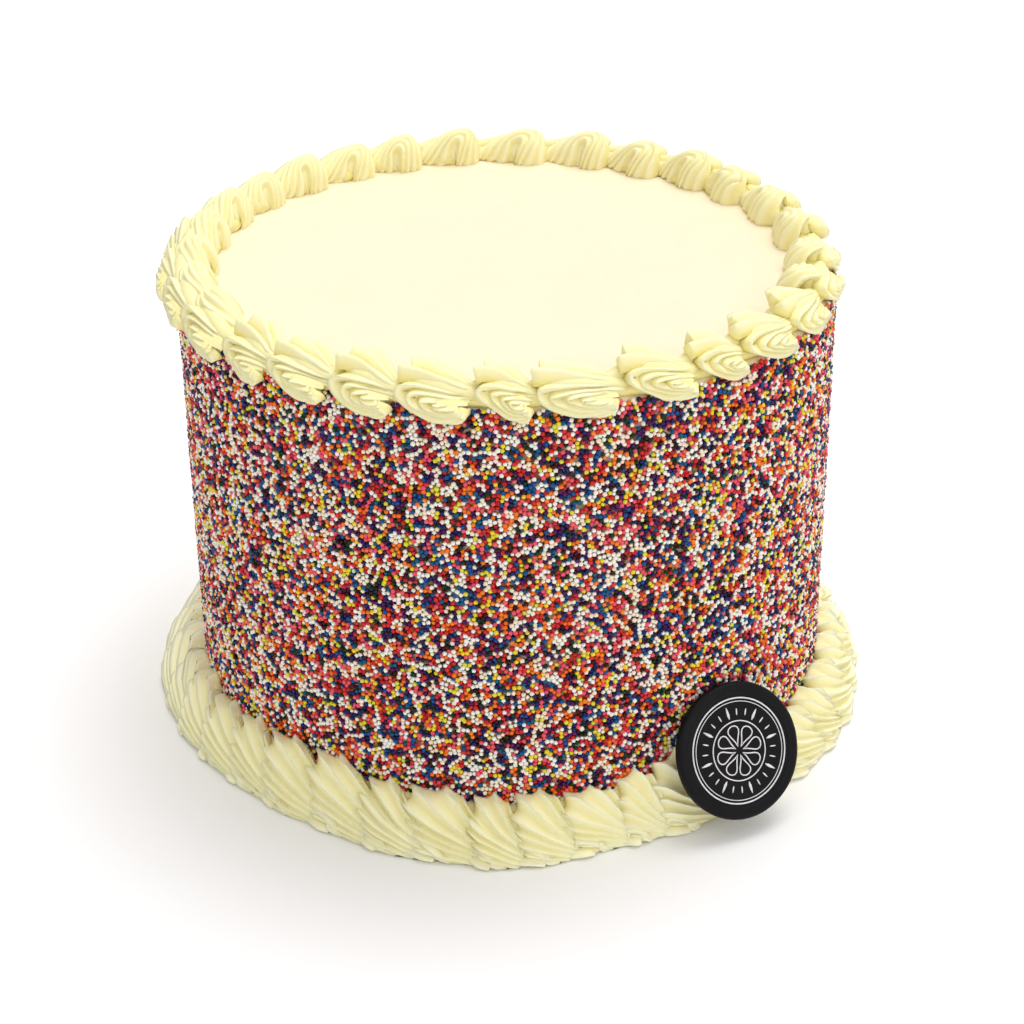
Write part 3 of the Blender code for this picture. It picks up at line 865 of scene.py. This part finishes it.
def make_plaque():
    around = 128
    prof = [(16.6, -0.42), (16.95, -0.40), (17.15, -0.12), (17.4, -0.04), (17.9, -0.10), (18.15, -0.16), (18.4, -0.08), (18.8, 0.0), (19.4, -0.03),
            (19.95, -0.22), (20.35, -0.6), (20.55, -1.1), (20.6, -1.8), (20.45, -2.6), (20.1, -3.05), (19.5, -3.35), (18.5, -3.4), (9.0, -3.4)]
    inner = [(r, -0.42) for r in (3.0, 7.0, 11.0, 14.5)]
    rows = np.array(inner + prof)
    az = np.arange(around) * 2 * math.pi / around
    local = np.stack([rows[:, :1] * np.cos(az), rows[:, :1] * np.sin(az), rows[:, 1:].repeat(around, 1)], -1).reshape(-1, 3)
    w = Waves(31)
    wob = 0.05 * w(local, 14.0)
    local[:, 2] += np.where(local[:, 2] > -0.5, wob * 0.6, 0)
    rr = np.hypot(local[:, 0], local[:, 1])
    edge = rr > 19
    local[:, :2] *= (1 + np.where(edge, 0.06 * w(local, 9.0) / rr, 0))[:, None]
    n = len(local)
    local = np.vstack([local, [[0, 0, -0.42], [0, 0, -3.4]]])
    k = len(rows)
    quads = grid_faces(k, around, close_cols=True)
    first = np.arange(around)
    last = (k - 1) * around + first
    tris = [np.stack([np.full(around, n), first, np.roll(first, -1)], 1),
            np.stack([np.full(around, n + 1), np.roll(last, -1), last], 1)]
    obj = mesh_object("moulded_plaque", place_on_plaque(local), [quads[:, ::-1]] + tris, chocolate_material())
    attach(obj, "root")
    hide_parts("chocolate_plaque")

    # the printed ornament: plain rings, a petal rosette and rays, lying on the sunk field
    co, faces, base = [], [], 0

    def stroke(points, width, closed):
        nonlocal base
        p = np.asarray(points, float)
        if closed:
            t = np.roll(p, -1, 0) - np.roll(p, 1, 0)
        else:
            t = np.gradient(p, axis=0)
        t /= np.linalg.norm(t, axis=1)[:, None]
        side = np.stack([-t[:, 1], t[:, 0]], 1)
        wd = np.broadcast_to(np.asarray(width, float), (len(p),))[:, None] / 2
        low, high = -0.46, -0.34
        corner = [np.hstack([p + side * wd, np.full((len(p), 1), low)]), np.hstack([p + side * wd, np.full((len(p), 1), high)]),
                  np.hstack([p - side * wd, np.full((len(p), 1), high)]), np.hstack([p - side * wd, np.full((len(p), 1), low)])]
        block = np.stack(corner, 1)
        co.append(block.reshape(-1, 3))
        faces.append(grid_faces(len(p), 4, close_rows=closed, close_cols=True, base=base, flip=True))
        if not closed:
            faces.append(np.array([[0, 1, 2, 3]]) + base)
            faces.append(np.array([[3, 2, 1, 0]]) + base + (len(p) - 1) * 4)
        base += len(p) * 4

    for r, wd in ((15.7, 0.42), (14.7, 0.22), (8.9, 0.34)):
        a = np.linspace(0, 2 * math.pi, 121)[:-1]
        stroke(np.stack([r * np.cos(a), r * np.sin(a)], 1), wd, True)
    for i in range(8):
        a0 = i * math.pi / 4 + math.radians(6)
        t = np.linspace(0, 1, 15)[:-1]
        reach = 1.6 + 5.9 * np.sin(math.pi * t) ** 0.9
        swing = 0.34 * np.sin(2 * math.pi * t)
        a = a0 + swing * 0.9
        r = 1.3 + 6.4 * np.sin(math.pi * t)
        stroke(np.stack([r * np.cos(a), r * np.sin(a)], 1), 0.36, True)
    for i in range(24):
        a = i * math.pi / 12 + math.radians(6)
        long = i % 3 == 0
        r = np.array([9.9, 11.0, 12.2, 13.5]) if long else np.array([10.6, 11.2, 11.9, 12.6])
        stroke(np.stack([r * math.cos(a), r * math.sin(a)], 1), (np.array([0.25, 0.85, 0.7, 0.2]) if long else np.array([0.2, 0.42, 0.4, 0.2])), False)
    obj = mesh_object("plaque_print", place_on_plaque(np.vstack(co)), faces, print_material(), smooth=False)
    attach(obj, "root")


# ------------------------------------------------------------------ stage, light, camera
def make_stage():
    mat, nt, bsdf = new_material("pale_floor")
    speck = noise_node(nt, 3.0, 2.0)
    tint = ramp_node(nt, speck.outputs["Fac"], [(0.3, (0.90, 0.90, 0.90)), (0.7, (0.92, 0.92, 0.92))])
    nt.links.new(tint.outputs["Color"], bsdf.inputs["Base Color"])
    bsdf.inputs["Roughness"].default_value = 0.9
    bsdf.inputs["Specular IOR Level"].default_value = 0.1
    e = 6000.0
    floor = mesh_object("floor", [(-e, -e, 0), (e, -e, 0), (e, e, 0), (-e, e, 0)], [np.array([[0, 1, 2, 3]])], mat, smooth=False)

    world = bpy.context.scene.world or bpy.data.worlds.new("world")
    bpy.context.scene.world = world
    world.use_nodes = True
    bg = world.node_tree.nodes.get("Background")
    bg.inputs["Color"].default_value = (1.0, 1.0, 1.0, 1.0)
    bg.inputs["Strength"].default_value = 0.55

    def sun(name, direction, strength, spread, colour=(1, 1, 1)):
        light = bpy.data.lights.new(name, 'SUN')
        light.energy = strength
        light.angle = math.radians(spread)
        light.color = colour
        obj = bpy.data.objects.new(name, light)
        obj.location = (0, 0, 1)
        obj.rotation_euler = Vector(direction).to_track_quat('-Z', 'Y').to_euler()
        bpy.context.scene.collection.objects.link(obj)

    sun("soft_top", (-0.15, -0.30, -1.0), 2.0, 42)
    sun("soft_right", (-0.9, 0.55, -0.75), 0.45, 70)
    sun("soft_front", (-0.2, 1.0, -0.75), 0.46, 80)

    cam = bpy.data.cameras.new("camera")
    cam.sensor_width = 36.0
    cam.sensor_fit = 'HORIZONTAL'
    cam.lens = 2234.611 / 1024 * 36
    cam.shift_x = 0.0
    cam.shift_y = -117.388 / 1024
    cam.clip_start = 0.01
    cam.clip_end = 50
    obj = bpy.data.objects.new("camera", cam)
    obj.location = (1.26 * MM, -641.205 * MM, 414.935 * MM)
    e = math.radians(26.237)
    c, s = math.cos(math.radians(-0.613)), math.sin(math.radians(-0.613))
    right = (c, s * math.sin(e), s * math.cos(e))
    up = (-s, c * math.sin(e), c * math.cos(e))
    fwd = (0.0, math.cos(e), -math.sin(e))
    m = Matrix(((right[0], up[0], -fwd[0]), (right[1], up[1], -fwd[1]), (right[2], up[2], -fwd[2])))
    obj.rotation_euler = m.to_euler()
    bpy.context.scene.collection.objects.link(obj)
    bpy.context.scene.camera = obj
    bpy.context.scene.view_settings.view_transform = 'Standard'
    bpy.context.scene.view_settings.look = 'None'


make_cake()
make_piping()
make_sprinkles()
make_plaque()
make_stage()
